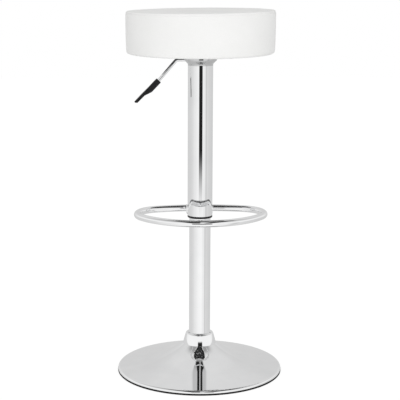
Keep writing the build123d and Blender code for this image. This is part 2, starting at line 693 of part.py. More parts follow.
def pivot_bracket():
    """U of sheet steel welded under the plate, with an ear each side of the rod."""
    half_width = LEVER_ROD_R + EASE + PIVOT_EAR_WALL
    bottom = LEVER_Z - PIVOT_EAR_BELOW
    height = PLATE_BOTTOM - bottom
    block = Pos(-LEVER_PIVOT_X, 0, bottom + height / 2) * Box(
        2 * PIVOT_EAR_HALF_LENGTH, 2 * half_width, height
    )
    block = fillet(block.edges().filter_by(Axis.Y).group_by(Axis.Z)[0], PIVOT_EAR_HALF_LENGTH / 2)
    channel_height = height - PIVOT_EAR_WALL
    channel = Pos(-LEVER_PIVOT_X, 0, bottom + channel_height / 2) * Box(
        4 * PIVOT_EAR_HALF_LENGTH, 2 * (half_width - PIVOT_EAR_WALL), channel_height
    )
    return block - channel - pivot_axis_cylinder(PIVOT_PIN_R, 4 * half_width)


def pivot_axis_cylinder(radius, length):
    """Cylinder along the lever's pivot axis."""
    return Pos(-LEVER_PIVOT_X, 0, LEVER_Z) * Rot(X=90) * Cylinder(radius, length)


def pivot_pin():
    half_width = LEVER_ROD_R + EASE + PIVOT_EAR_WALL
    return pivot_axis_cylinder(PIVOT_PIN_R, 2 * (half_width + PIVOT_PIN_SPARE))


def down_left(slope):
    """Direction to the lever's side at a slope in degrees below level."""
    return Vector(-1, 0, 0).rotate(Axis.Y, -slope)


def lever_bend():
    return Vector(-LEVER_BEND_X, 0, LEVER_Z)


def lever_knee():
    """Slight bend of the rod where the grip begins."""
    return lever_bend() + down_left(LEVER_SLOPE) * LEVER_REACH


def grip_mouth():
    """Middle of the grip's mouth, just past the rounding of the knee."""
    rounding = LEVER_BEND_R * math.tan(math.radians(LEVER_SLOPE - GRIP_SLOPE) / 2)
    return lever_knee() + down_left(GRIP_SLOPE) * abs(rounding)


def lever_rod():
    """Bent rod: nose over the release pin, pivot hole, level run, slope into the grip."""
    nose = Vector(LEVER_NOSE, 0, LEVER_Z)
    end = grip_mouth() + down_left(GRIP_SLOPE) * GRIP_BORE_DEPTH
    path = FilletPolyline(nose, lever_bend(), lever_knee(), end, radius=LEVER_BEND_R)
    rod = sweep(Plane(nose, z_dir=(-1, 0, 0)) * Circle(LEVER_ROD_R), path)
    return rod - pivot_axis_cylinder(PIVOT_PIN_R + RUN, 4 * LEVER_ROD_R)


def grip_section(place, width, thickness):
    """Rounded section of the grip; its upper edge keeps one straight line."""
    corner = GRIP_ROUNDING * min(width, thickness)
    lift = (GRIP_BARREL - thickness) / 2
    return Pos(0, -lift, place) * RectangleRounded(width, thickness, corner)


def lever_grip():
    """Moulded grip: a barrel over the rod, sloping to a flat paddle."""
    paddle_start = GRIP_BARREL_LENGTH + GRIP_SLOPE_LENGTH
    paddle_end = GRIP_LENGTH - GRIP_TIP_LENGTH
    mouth_taper = GRIP_BARREL - GRIP_MOUTH
    tip_shrink = 2 * GRIP_TIP_LENGTH
    mouth = Circle(GRIP_MOUTH / 2)
    barrel = Pos(0, 0, mouth_taper) * Circle(GRIP_BARREL / 2)
    body = loft([mouth, barrel])
    body += Pos(0, 0, mouth_taper) * extrude(
        Circle(GRIP_BARREL / 2), amount=GRIP_BARREL_LENGTH - mouth_taper
    )
    sections = [
        grip_section(GRIP_BARREL_LENGTH, GRIP_BARREL, GRIP_BARREL),
        grip_section(paddle_start, GRIP_PADDLE_WIDTH, GRIP_PADDLE_ROOT),
        grip_section(paddle_end, GRIP_PADDLE_WIDTH, GRIP_PADDLE_END),
        grip_section(GRIP_LENGTH, GRIP_PADDLE_WIDTH - tip_shrink, GRIP_PADDLE_END / 2),
    ]
    body += loft(sections, ruled=True)
    body -= Pos(0, 0, GRIP_BORE_DEPTH / 2) * Cylinder(LEVER_ROD_R, GRIP_BORE_DEPTH)
    return Plane(grip_mouth(), x_dir=(0, 1, 0), z_dir=down_left(GRIP_SLOPE)) * body


def seat_drum(inset):
    """Whole drum of the seat, a given distance inside its outer face."""
    bottom = SEAT_BOTTOM + inset
    edge = (SEAT_EDGE_R - inset, SEAT_BOTTOM + SEAT_EDGE_HEIGHT - inset)
    foot = (SEAT_FOOT_R - inset, bottom)
    crown_r = (edge[0] ** 2 + SEAT_CROWN**2) / (2 * SEAT_CROWN)
    crown = RadiusArc((0, edge[1] + SEAT_CROWN), edge, crown_r)
    side = SagittaArc(edge, foot, SEAT_SIDE_BULGE)
    closing = Polyline(foot, (0, bottom), crown @ 0)
    section = make_face([crown, side, closing])
    corners = section.vertices().group_by(Axis.X)[-1] + section.vertices().group_by(Axis.X)[-2]
    section = fillet(corners, SEAT_CORNER_R - inset)
    return revolve(Plane.XZ * section, Axis.Z)


def seat_cover():
    """Leatherette drawn over the foam and turned under the board."""
    opening = Pos(0, 0, SEAT_BOTTOM) * extrude(Circle(COVER_LIP_R), amount=COVER_WALL)
    return seat_drum(0) - seat_drum(COVER_WALL) - opening


def seat_board():
    board = Pos(0, 0, BOARD_BOTTOM) * extrude(Circle(BOARD_R), amount=BOARD_HEIGHT)
    board = fillet(board.edges().group_by(Axis.Z)[0], BOARD_EDGE_R)
    hole = Pos(0, 0, BOARD_BOTTOM + BOARD_HEIGHT / 2) * Cylinder(TEE_NUT_BARREL_R, BOARD_HEIGHT)
    for cut in at_seat_bolts(hole):
        board -= cut
    return board


def seat_foam():
    """Foam block over and round the board, dented by the tee nuts' flanges."""
    foam = seat_drum(COVER_WALL + EASE)
    board_space = BOARD_TOP - SEAT_BOTTOM
    foam -= Pos(0, 0, SEAT_BOTTOM) * extrude(Circle(BOARD_R + EASE), amount=board_space)
    dent = Pos(0, 0, BOARD_TOP + TEE_NUT_FLANGE / 2) * Cylinder(
        TEE_NUT_FLANGE_R + EASE, TEE_NUT_FLANGE
    )
    for cut in at_seat_bolts(dent):
        foam -= cut
    return foam


def dust_cover():
    """Black cloth under the board, stepping down over the cover's turned-under edge."""
    step = COVER_WALL
    inner_r = COVER_LIP_R - EASE - step
    cloth = turned(
        Polyline(
            (0, BOARD_BOTTOM),
            (inner_r, BOARD_BOTTOM),
            (inner_r + step, SEAT_BOTTOM),
            (DUST_COVER_R, SEAT_BOTTOM),
            (DUST_COVER_R, SEAT_BOTTOM - DUST_COVER_WALL),
            (inner_r + step - DUST_COVER_WALL / 2, SEAT_BOTTOM - DUST_COVER_WALL),
            (inner_r - DUST_COVER_WALL / 2, PLATE_TOP),
            (0, PLATE_TOP),
            close=True,
        )
    )
    hole = Pos(0, 0, PLATE_TOP) * Cylinder(SEAT_BOLT_R + THREAD_HOLE, 4 * DUST_COVER_WALL)
    for cut in at_seat_bolts(hole):
        cloth -= cut
    return cloth


def tee_nuts():
    """Threaded barrels hammered into the board from above."""
    barrel = ring(TEE_NUT_BARREL_R, SEAT_BOLT_R, BOARD_TOP - TEE_NUT_DEPTH, TEE_NUT_DEPTH)
    flange = ring(TEE_NUT_FLANGE_R, SEAT_BOLT_R, BOARD_TOP, TEE_NUT_FLANGE)
    return at_seat_bolts(barrel + flange)


def seat_washers():
    washer = ring(
        SEAT_WASHER_R, SEAT_BOLT_R + THREAD_HOLE, PLATE_BOTTOM - SEAT_WASHER_HEIGHT, SEAT_WASHER_HEIGHT
    )
    return at_seat_bolts(washer)


def seat_bolts():
    """Hexagon bolts up through the plate into the tee nuts."""
    head_top = PLATE_BOTTOM - SEAT_WASHER_HEIGHT
    head = extrude(RegularPolygon(SEAT_BOLT_FLATS / 2, 6, major_radius=False), amount=SEAT_BOLT_HEAD)
    head = Pos(0, 0, head_top - SEAT_BOLT_HEAD) * head
    shank = Pos(0, 0, head_top) * extrude(Circle(SEAT_BOLT_R), amount=BOARD_TOP - head_top)
    return at_seat_bolts(head + shank)


def save(node, solids):
    """Write one node; a list of solids becomes one compound."""
    shape = Compound(children=solids) if isinstance(solids, list) else solids
    export_step(shape, f"parts/{node}.step")


def main():
    os.makedirs("parts", exist_ok=True)
    tube = footrest_ring()
    nodes = {
        "base_shell": base_shell(),
        "floor_ring": floor_ring(),
        "base_weight": base_weight(),
        "hub_cover": hub_cover(),
        "column_tube": column_tube(),
        "column_foot": column_foot(),
        "clamp_washer": clamp_washer(),
        "lock_washer": lock_washer(),
        "clamp_nut": clamp_nut(),
        "guide_bush": guide_bush(),
        "lower_race": lower_race(),
        "ball_cage": ball_cage(),
        "bearing_balls": bearing_balls(),
        "upper_race": upper_race(),
        "piston_rod": piston_rod(),
        "rod_clip": rod_clip(),
        "buffer": buffer(),
        "piston": piston(),
        "gas_cylinder": gas_cylinder(),
        "rod_gland": rod_gland(),
        "valve_body": valve_body(),
        "release_pin": release_pin(),
        "taper_socket": taper_socket(),
        "sleeve_tube": sleeve_tube(),
        "sleeve_head": sleeve_head(),
        "sleeve_bush": sleeve_bush(),
        "footrest_ring": tube,
        "footrest_saddle": footrest_saddle(tube),
        "footrest_strap": footrest_strap(tube),
        "footrest_screws": footrest_screws(),
        "bell_housing": bell_housing(),
        "mount_plate": mount_plate(),
        "pivot_bracket": pivot_bracket(),
        "pivot_pin": pivot_pin(),
        "lever_rod": lever_rod(),
        "lever_grip": lever_grip(),
        "seat_board": seat_board(),
        "seat_foam": seat_foam(),
        "seat_cover": seat_cover(),
        "dust_cover": dust_cover(),
        "tee_nuts": tee_nuts(),
        "seat_washers": seat_washers(),
        "seat_bolts": seat_bolts(),
    }
    for node, solids in nodes.items():
        save(node, solids)


main()
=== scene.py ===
"""Looks of the bar stool round its CAD frame: materials, seat cover, dust cover, studio, camera."""
import json
import math

import bpy
from mathutils import Matrix, Vector, geometry, noise


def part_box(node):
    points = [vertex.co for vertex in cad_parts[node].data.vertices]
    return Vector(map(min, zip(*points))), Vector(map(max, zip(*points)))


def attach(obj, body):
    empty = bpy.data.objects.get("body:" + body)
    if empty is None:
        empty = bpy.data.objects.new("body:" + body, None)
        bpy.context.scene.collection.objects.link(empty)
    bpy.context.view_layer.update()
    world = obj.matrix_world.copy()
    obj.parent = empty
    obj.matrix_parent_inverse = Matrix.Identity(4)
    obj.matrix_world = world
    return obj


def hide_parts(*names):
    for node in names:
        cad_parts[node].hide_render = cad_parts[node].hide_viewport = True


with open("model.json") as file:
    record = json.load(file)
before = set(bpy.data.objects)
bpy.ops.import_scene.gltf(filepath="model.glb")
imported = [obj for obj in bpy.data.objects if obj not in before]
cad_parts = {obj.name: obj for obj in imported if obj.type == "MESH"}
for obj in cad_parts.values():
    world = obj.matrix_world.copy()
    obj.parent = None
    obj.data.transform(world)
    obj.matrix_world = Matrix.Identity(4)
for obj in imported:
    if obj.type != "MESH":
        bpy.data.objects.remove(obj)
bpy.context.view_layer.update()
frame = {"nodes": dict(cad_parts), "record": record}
nodes = frame["nodes"]
scene = bpy.context.scene

MM = 0.001

# Camera, in metres, with its focal length in pixels of the square image
FOCAL_PX = 1277.5
IMAGE_PX = 400
SENSOR_MM = 36.0
CAMERA_BACK, CAMERA_HEIGHT = 2.926, 0.984
CAMERA_TURN = math.radians(-3.4)
CAMERA_TILT = math.radians(11.092)
CAMERA_ROLL = 0.004

# Outline of the seat cover, in metres; the leans are slopes
TOP_EASE = 0.0011  # top below the CAD cover's
CROWN = 0.0046
EDGE_R, CORNER_R = 0.1706, 0.0046
FOOT_R, FOOT_CORNER_R = 0.1692, 0.0058
SIDE_BULGE = 0.0008
LIP_R = 0.1392  # inner edge of the cover below the board
LEAN_X, LEAN_Y = 0.012, -0.0075
FOOT_SAG, SAG_FADE = 0.0011, 6  # foot lower in front and behind, over a sixth of the height
UNDER_START = 0.001  # flat underside starts this far inside the foot's rounding
TURNS = 384
CROWN_ROWS, CROWN_POWER = 34, 0.8
CORNER_ROWS, FOOT_ROWS, UNDER_ROWS = 16, 12, 14
SEAM_ROWS, SEAM_ROW_STEP, SIDE_ROWS = 21, 0.0004, 26

# Relief of the seat cover, in metres outwards; rates are per metre
SWELL, SWELL_RATE = 0.22 * MM, 22.0
RIPPLE, RIPPLE_RATE = 0.08 * MM, 70.0
SEAM_DROP, SEAM_DEPTH, SEAM_HALF = 0.0036, 0.0013, 0.0011
SEAM_REACH = 0.004  # seam's relief ends this far inside the foot's radius
WELT_ABOVE, WELT_BELOW = 0.25 * MM, 0.18 * MM
WELT_PLACE, WELT_HALF = 0.0034, 0.0022
PUCKERS, PUCKER_DEPTH, PUCKER_HALF = 118, 0.09 * MM, 0.008
PUCKER_SHIFT, PUCKER_RATE, PUCKER_REACH = 2.0, 30.0, 0.012
JOIN_ANGLE = math.pi / 2  # at the back
JOIN_DEPTH, JOIN_HALF = 0.7 * MM, 0.9 * MM
JOIN_ROWS = (0.5 * MM, 1.0 * MM, 1.6 * MM, 2.4 * MM)
BAND_MARGIN = 0.002  # band with the join: foot's radius less this, up to this above the seam
PLEATS, PLEAT_DEPTH, PLEAT_RUN = 48, 0.9 * MM, 0.016
PLEAT_SHIFT, PLEAT_RATE = 1.2, 18.0
UNDERSIDE = 0.0015  # what lies this close to the bottom counts as underside

# Room inside the cover for the board and its tee nuts
BOARD_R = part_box("seat_board")[1].x
BOARD_GAP, BOARD_TOP_GAP = 0.0004, 0.0003
TEE_ROOM, TEE_ROOM_EDGE_R, TEE_ROOM_R, TEE_ROOM_END_R = 0.0018, 0.120, 0.112, 0.040

# Dust cover and its staples
CLOTH_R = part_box("dust_cover")[1].x
CLOTH_WALL, CLOTH_GAP = 0.0005, 0.00005
SCALLOP = 0.5 * MM
STAPLES = 44
STAPLE_R = CLOTH_R - 0.0052
STAPLE_GAP = 0.0001
RIM_POINTS = 8  # for each staple
WASHER_R = 0.0085
BOLT_HOLE_R, HOLE_POINTS, HOLE_MARGIN = 0.0044, 24, 0.006
INSIDE_RIM, SAME_POINT = 4, 1e-7  # triangulation that fills the rim, and its tolerance
STEP_INSET, STEP_RUN = 0.0025, 0.003
SLACK_INSET, SLACK_RUN = 0.015, 0.02
PULL_DEPTH, PULL_INSET = 0.22 * MM, 0.004
WRINKLE_DEPTH, WRINKLE_RATE = 0.9 * MM, 34.0
WRINKLE_FROM, WRINKLE_TO, WRINKLE_MIDDLE, WRINKLE_HALF = 0.018, 0.002, 0.010, 0.006
# Rows of the cloth's points: millimetres outside the lip's edge, then radius and count
LIP_ROWS = (12, 10, 8, 6, 4, 2, 0.5, -1, -2.5, -4, -7, -10, -13, -16)
LIP_ROW_POINTS = 176
INNER_ROWS = [(0.114, 96), (0.100, 72), (0.070, 48), (0.050, 36), (0.025, 18)]


def add(tree, kind, settings=None, **sockets):
    """One shader node; sockets are values or the outputs they are linked to."""
    node = tree.nodes.new("ShaderNode" + kind)
    for name, value in (settings or {}).items():
        setattr(node, name, value)
    for name, value in sockets.items():
        numbered = name[0] == "i" and name[1:].isdigit()
        socket = node.inputs[int(name[1:]) if numbered else name.replace("_", " ")]
        if isinstance(value, bpy.types.NodeSocket):
            tree.links.new(value, socket)
        else:
            socket.default_value = value
    return node


def calc(tree, operation, first, second=0.0, third=0.0, clamp=False):
    """Output of one arithmetic node."""
    settings = {"operation": operation, "use_clamp": clamp}
    return add(tree, "Math", settings, i0=first, i1=second, i2=third).outputs[0]


def spread(tree, value, low, high, out_low, out_high):
    """Value taken from one range to another, held at its ends."""
    return add(
        tree,
        "MapRange",
        {"interpolation_type": "SMOOTHSTEP"},
        Value=value,
        From_Min=low,
        From_Max=high,
        To_Min=out_low,
        To_Max=out_high,
    ).outputs[0]


def ramp(tree, fac, stops):
    """Colour ramp through (place, grey or colour) stops."""
    node = add(tree, "ValToRGB", Fac=fac)
    elements = node.color_ramp.elements
    while len(elements) < len(stops):
        elements.new(0.5)
    for element, (place, tone) in zip(elements, stops):
        element.position = place
        colour = (tone, tone, tone) if isinstance(tone, (int, float)) else tone
        element.color = (*colour, 1)
    return node.outputs[0]


def new_material(name):
    """Material with a Principled shader; gives it, its tree and the part's own coordinates."""
    material = bpy.data.materials.new(name)
    material.use_nodes = True
    tree = material.node_tree
    place = tree.nodes.new("ShaderNodeTexCoord").outputs["Object"]
    return material, tree, tree.nodes["Principled BSDF"], place


def grain(tree, place, scale, detail=2.0, stretch=None):
    """Noise of a given frequency per metre, stretched along the axes if asked."""
    if stretch:
        place = add(tree, "Mapping", Vector=place, Scale=stretch).outputs[0]
    return add(tree, "TexNoise", Vector=place, Scale=scale, Detail=detail).outputs["Fac"]


def cells(tree, place, scale, feature="F1", randomness=1.0):
    """Distances in a pattern of cells of a given frequency per metre."""
    settings = {"feature": feature}
    node = add(tree, "TexVoronoi", settings, Vector=place, Scale=scale, Randomness=randomness)
    return node.outputs["Distance"]


def bump(tree, shader, height, strength, depth):
    """Fine relief on a shader."""
    relief = add(tree, "Bump", Height=height, Strength=strength, Distance=depth)
    tree.links.new(relief.outputs[0], shader.inputs["Normal"])


def cloudy(tree, shader, cloud, dark, light, rough):
    """Colour and roughness that follow a cloudy pattern."""
    tone = ramp(tree, cloud, [(0.3, dark), (0.7, light)])
    tree.links.new(tone, shader.inputs["Base Color"])
    tree.links.new(spread(tree, cloud, 0.3, 0.7, *rough), shader.inputs["Roughness"])


def chrome(name, dark, light, blur):
    """Bright plating with a faint haze and hairline wiping marks."""
    material, tree, shader, place = new_material(name)
    haze = grain(tree, place, 26.0, 4.0)
    hairs = grain(tree, place, 140.0, 3.0, (1.0, 1.0, 0.06))
    shader.inputs["Metallic"].default_value = 1.0
    tone = ramp(tree, haze, [(0.3, dark), (0.7, light)])
    tree.links.new(tone, shader.inputs["Base Color"])
    hazy = spread(tree, haze, 0.35, 0.75, blur, 2 * blur)
    rough = calc(tree, "ADD", hazy, calc(tree, "MULTIPLY", hairs, blur / 2))
    tree.links.new(rough, shader.inputs["Roughness"])
    return material


def plain_metal(name, dark, light, rough, scale, depth, metallic=1.0):
    """Metal with a cloudy tone and a fine relief."""
    material, tree, shader, place = new_material(name)
    cloudy(tree, shader, grain(tree, place, scale, 5.0), dark, light, rough)
    shader.inputs["Metallic"].default_value = metallic
    bump(tree, shader, grain(tree, place, scale * 14.0, 2.0), 0.35, depth)
    return material


def moulded(name, dark, light, rough, scale, depth, shine=0.5):
    """Plastic or rubber with a fine moulded texture."""
    material, tree, shader, place = new_material(name)
    cloudy(tree, shader, grain(tree, place, 90.0, 3.0), dark, light, rough)
    shader.inputs["Specular IOR Level"].default_value = shine
    bump(tree, shader, cells(tree, place, scale, "SMOOTH_F1"), 0.3, depth)
    return material


def leatherette():
    """White coated fabric: pebbled grain with painted shade in its valleys, soft clouds and a
    slight satin.
    """
    material, tree, shader, place = new_material("white_leatherette")
    pebbles = spread(tree, cells(tree, place, 620.0, "DISTANCE_TO_EDGE"), 0.0, 0.22, 0.0, 1.0)
    pores = grain(tree, place, 1500.0, 2.0)
    cloud = grain(tree, place, 14.0, 4.0)
    tone = ramp(tree, cloud, [(0.3, (0.868, 0.868, 0.858)), (0.7, (0.892, 0.892, 0.884))])
    # Painted shade: the colour darkens slightly in the valleys between the pebbles, where the
    # relief dips
    shaded_valleys = add(
        tree,
        "Mix",
        {"data_type": "RGBA", "blend_type": "MULTIPLY"},
        Factor=calc(tree, "MULTIPLY", calc(tree, "SUBTRACT", 1.0, pebbles), 0.10),
        i6=tone,
        i7=(0.72, 0.72, 0.70, 1.0),
    ).outputs[2]
    tree.links.new(shaded_valleys, shader.inputs["Base Color"])
    tree.links.new(spread(tree, cloud, 0.3, 0.7, 0.46, 0.56), shader.inputs["Roughness"])
    shader.inputs["Specular IOR Level"].default_value = 0.35
    height = calc(tree, "ADD", pebbles, calc(tree, "MULTIPLY", pores, 0.5))
    bump(tree, shader, height, 0.4, 0.00012)
    return material


def plywood():
    """Beech faces with grain along X and the plies showing at the edge."""
    material, tree, shader, place = new_material("plywood")
    fibre = grain(tree, place, 60.0, 5.0, (0.12, 1.6, 1.0))
    settings = {"bands_direction": "Z"}
    wave = add(tree, "TexWave", settings, Vector=place, Scale=150.0, Distortion=0.6)
    plies = calc(tree, "MULTIPLY", wave.outputs["Fac"], 0.3)
    mixed = calc(tree, "ADD", calc(tree, "MULTIPLY", fibre, 0.7), plies)
    tone = ramp(tree, mixed, [(0.25, (0.36, 0.22, 0.11)), (0.75, (0.66, 0.47, 0.28))])
    tree.links.new(tone, shader.inputs["Base Color"])
    tree.links.new(spread(tree, fibre, 0.3, 0.7, 0.6, 0.75), shader.inputs["Roughness"])
    bump(tree, shader, fibre, 0.3, 0.0003)
    return material


def foam():
    """Open-cell foam, its colour painted darker in the pores as painted shade."""
    material, tree, shader, place = new_material("foam")
    pores = cells(tree, place, 900.0)
    # Painted shade: the colour darkens towards the middle of each pore, where the relief dips
    tone = ramp(tree, pores, [(0.1, (0.62, 0.58, 0.46)), (0.6, (0.80, 0.77, 0.66))])
    tree.links.new(tone, shader.inputs["Base Color"])
    shader.inputs["Roughness"].default_value = 0.9
    bump(tree, shader, pores, 0.6, 0.0006)
    return material


def black_cloth():
    """Spun-bonded black cloth with its pressed dot pattern."""
    material, tree, shader, place = new_material("black_cloth")
    dots = cells(tree, place, 480.0, randomness=0.15)
    pressed = calc(tree, "MULTIPLY", spread(tree, dots, 0.15, 0.4, 0.0, 1.0), 0.6)
    fibres = grain(tree, place, 1400.0, 3.0, (1.0, 0.35, 1.0))
    mixed = calc(tree, "ADD", pressed, calc(tree, "MULTIPLY", fibres, 0.6))
    tone = ramp(tree, mixed, [(0.2, (0.008, 0.008, 0.009)), (0.9, (0.026, 0.026, 0.028))])
    tree.links.new(tone, shader.inputs["Base Color"])
    tree.links.new(spread(tree, fibres, 0.3, 0.7, 0.78, 0.92), shader.inputs["Roughness"])
    shader.inputs["Sheen Weight"].default_value = 0.15
    bump(tree, shader, mixed, 0.5, 0.0002)
    return material


materials = {
    "chrome": chrome("chrome_plate", (0.885, 0.888, 0.893), (0.925, 0.927, 0.930), 0.015),
    "steel": plain_metal(
        "zinc_steel", (0.50, 0.51, 0.52), (0.66, 0.66, 0.65), (0.26, 0.40), 70.0, 0.00003
    ),
    "black_steel": plain_metal(
        "black_paint",
        (0.012, 0.012, 0.013),
        (0.022, 0.022, 0.023),
        (0.34, 0.46),
        120.0,
        0.00006,
        metallic=0.0,
    ),
    "iron": plain_metal(
        "cast_iron",
        (0.05, 0.05, 0.05),
        (0.11, 0.105, 0.10),
        (0.6, 0.8),
        90.0,
        0.0004,
        metallic=0.4,
    ),
    "rubber": moulded(
        "black_rubber",
        (0.008, 0.008, 0.008),
        (0.016, 0.016, 0.016),
        (0.68, 0.82),
        900.0,
        0.00008,
        shine=0.15,
    ),
    "black_plastic": moulded(
        "black_plastic",
        (0.006, 0.006, 0.007),
        (0.012, 0.012, 0.013),
        (0.36, 0.48),
        1300.0,
        0.00005,
        shine=0.25,
    ),
    "pale_plastic": moulded(
        "pale_plastic", (0.66, 0.64, 0.58), (0.76, 0.74, 0.68), (0.40, 0.52), 1300.0, 0.00004
    ),
    "leatherette": leatherette(),
    "foam": foam(),
    "plywood": plywood(),
    "black_cloth": black_cloth(),
}

for row in frame["record"]["subparts"]:
    mesh = nodes[row["node"]].data
    mesh.materials.clear()
    mesh.materials.append(materials[row["material_slot"]])
# The housing gets a rougher copy of the plating, its colour painted darker as painted shade under
# the seat
nodes["bell_housing"].data.materials[0] = chrome(
    "shade_darkened_chrome", (0.60, 0.602, 0.606), (0.66, 0.662, 0.664), 0.06
)


def finish_piece(name, points, faces, slot, body):
    """New smooth-shaded piece with a slot's material, riding on a body."""
    mesh = bpy.data.meshes.new(name)
    mesh.from_pydata(points, [], faces)
    mesh.validate()
    mesh.polygons.foreach_set("use_smooth", [True] * len(mesh.polygons))
    mesh.materials.append(materials[slot])
    piece = bpy.data.objects.new(name, mesh)
    scene.collection.objects.link(piece)
    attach(piece, body)
    return piece


def hill(distance, half):
    """Bell curve of height 1 round zero."""
    return math.exp(-((distance / half) ** 2))


def clamped(value):
    """Value held between 0 and 1."""
    return min(1.0, max(0.0, value))


def circle(count):
    """Angles of evenly spaced points round a circle."""
    return [2 * math.pi * i / count for i in range(count)]


def arc_points(centre, radius, start, end, count):
    """Points of an arc in radius and height, from one angle to another in degrees."""
    step = (end - start) / (count - 1)
    angles = [math.radians(start + step * i) for i in range(count)]
    return [(centre[0] + radius * math.cos(a), centre[1] + radius * math.sin(a)) for a in angles]


def seat_outline(bottom, top):
    """Outline of the drum from near its middle over the edge to the turned-under lip."""
    edge_z = top - CROWN
    shoulder = EDGE_R - CORNER_R
    radii = [shoulder * (i / CROWN_ROWS) ** CROWN_POWER for i in range(1, CROWN_ROWS)]
    crown = [(r, top - CROWN * (r / EDGE_R) ** 2) for r in radii]
    centre = (shoulder, top - CROWN * (shoulder / EDGE_R) ** 2 - CORNER_R)
    corner = arc_points(centre, CORNER_R, 88, 4, CORNER_ROWS)
    heights = [centre[1] - SEAM_ROW_STEP * i for i in range(1, SEAM_ROWS + 1)]
    high, low = heights[-1], bottom + FOOT_CORNER_R
    heights += [high + (low - high) * i / SIDE_ROWS for i in range(1, SIDE_ROWS)]
    side = []
    for z in heights:
        share = (z - bottom) / (edge_z - bottom)
        bulge = SIDE_BULGE * (1 - (2 * share - 1) ** 2)
        side.append((FOOT_R + (EDGE_R - FOOT_R) * share + bulge, z))
    foot = arc_points((FOOT_R - FOOT_CORNER_R, low), FOOT_CORNER_R, 0, -86, FOOT_ROWS)
    start = FOOT_R - FOOT_CORNER_R - UNDER_START
    under = [(start + (LIP_R - start) * i / UNDER_ROWS, bottom) for i in range(UNDER_ROWS + 1)]
    return crown + corner + side + foot + under


def cover_relief(spot, r, z, angle, seam_z):
    """Height of the cover's swells, puckers, sewn seam and join over its outline."""
    lift = SWELL * noise.noise(spot * SWELL_RATE) + RIPPLE * noise.noise(spot * RIPPLE_RATE)
    if r > FOOT_R - PUCKER_REACH:
        shift = PUCKER_SHIFT * noise.noise(spot * PUCKER_RATE)
        pucker = math.sin(PUCKERS * angle + shift)
        lift += hill(z - seam_z, PUCKER_HALF) * PUCKER_DEPTH * pucker
    if r > FOOT_R - SEAM_REACH:
        lift -= SEAM_DEPTH * hill(z - seam_z, SEAM_HALF)
        lift += WELT_ABOVE * hill(z - seam_z - WELT_PLACE, WELT_HALF)
        lift += WELT_BELOW * hill(z - seam_z + WELT_PLACE, WELT_HALF)
    if r > FOOT_R - BAND_MARGIN and z < seam_z + BAND_MARGIN:
        lift -= JOIN_DEPTH * hill((angle - JOIN_ANGLE) * r, JOIN_HALF)
    return lift


def pleat_relief(spot, r, angle):
    """Height of the pleats in the cover's turned-under edge."""
    shift = PLEAT_SHIFT * noise.noise(spot * PLEAT_RATE)
    fold = abs(math.sin(PLEATS * angle / 2 + shift))
    return -PLEAT_DEPTH * min(1.0, (FOOT_R - r) / PLEAT_RUN) * (1 - fold) ** 2


def cover_lean(spot, r, rise, under):
    """How far the cover's lean and its foot's sag raise a point, from its share of the height."""
    lean = LEAN_X * spot.x * (1 + rise) / 2 + LEAN_Y * spot.y * rise
    if under:
        lean *= ((r - LIP_R) / (FOOT_R - LIP_R)) ** 2
    if r > CLOTH_R:
        low_down = max(0.0, 1 - SAG_FADE * rise) * (r - CLOTH_R) / (FOOT_R - CLOTH_R)
        lean -= FOOT_SAG * low_down * (spot.y / FOOT_R) ** 2
    return lean


def seat_cover():
    """Padded drum: crowned top, sewn edge seam, band joined at the back, pleated lip below."""
    low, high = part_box("seat_cover")
    board_low, board_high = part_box("seat_board")
    top = high.z - TOP_EASE
    outer = seat_outline(low.z, top)
    seam_z = top - CROWN - SEAM_DROP
    inner = [
        (LIP_R, board_low.z - BOARD_GAP),
        (BOARD_R + BOARD_GAP, board_low.z - BOARD_GAP),
        (BOARD_R + BOARD_GAP, board_high.z + BOARD_TOP_GAP),
        (TEE_ROOM_EDGE_R, board_high.z + BOARD_TOP_GAP),
        (TEE_ROOM_R, board_high.z + TEE_ROOM),
        (TEE_ROOM_END_R, board_high.z + TEE_ROOM),
    ]
    near_join = {JOIN_ANGLE + s * d / FOOT_R for d in JOIN_ROWS for s in (-1, 1)}
    angles = sorted(set(circle(TURNS)) | near_join)
    points = [(0, 0, top)]
    last = len(outer) - 1
    for index, (r, z) in enumerate(outer):
        before, after = outer[max(index - 1, 0)], outer[min(index + 1, last)]
        run, fall = after[0] - before[0], after[1] - before[1]
        length = math.hypot(run, fall)
        out_r, out_z = -fall / length, run / length
        under = z < low.z + UNDERSIDE and r < FOOT_R
        rise = (z - low.z) / (high.z - low.z)
        for angle in angles:
            spot = Vector((r * math.cos(angle), r * math.sin(angle), z))
            if under:
                lift = pleat_relief(spot, r, angle)
            else:
                lift = cover_relief(spot, r, z, angle, seam_z)
            out = lift * out_r
            x, y = spot.x + out * math.cos(angle), spot.y + out * math.sin(angle)
            points.append((x, y, z + lift * out_z + cover_lean(spot, r, rise, under)))
    for r, z in inner:
        points.extend((r * math.cos(a), r * math.sin(a), z) for a in angles)
    middle = len(points)
    points.append((0, 0, inner[-1][1]))
    turns = len(angles)
    rings = len(outer) + len(inner)
    faces = [(0, 1 + i, 1 + (i + 1) % turns) for i in range(turns)]
    for ring in range(rings - 1):
        start = 1 + ring * turns
        for i in range(turns):
            j = (i + 1) % turns
            faces.append((start + i, start + turns + i, start + turns + j, start + j))
    start = 1 + (rings - 1) * turns
    faces += [(start + i, middle, start + (i + 1) % turns) for i in range(turns)]
    piece = finish_piece("seat_upholstery", points, faces, "leatherette", "lift")
    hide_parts("seat_cover", "seat_foam")


def bolt_places():
    """Middles of the four seat bolts, from the corner of their washers' node."""
    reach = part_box("seat_washers")[1].x - WASHER_R
    return [(sx * reach, sy * reach) for sx in (-1, 1) for sy in (-1, 1)]


def in_hole(corners, bolts):
    """Whether a triangle's middle lies in one of the bolt holes."""
    middle = sum(corners, Vector((0.0, 0.0))) / 3
    return any(math.hypot(middle.x - x, middle.y - y) < BOLT_HOLE_R for x, y in bolts)


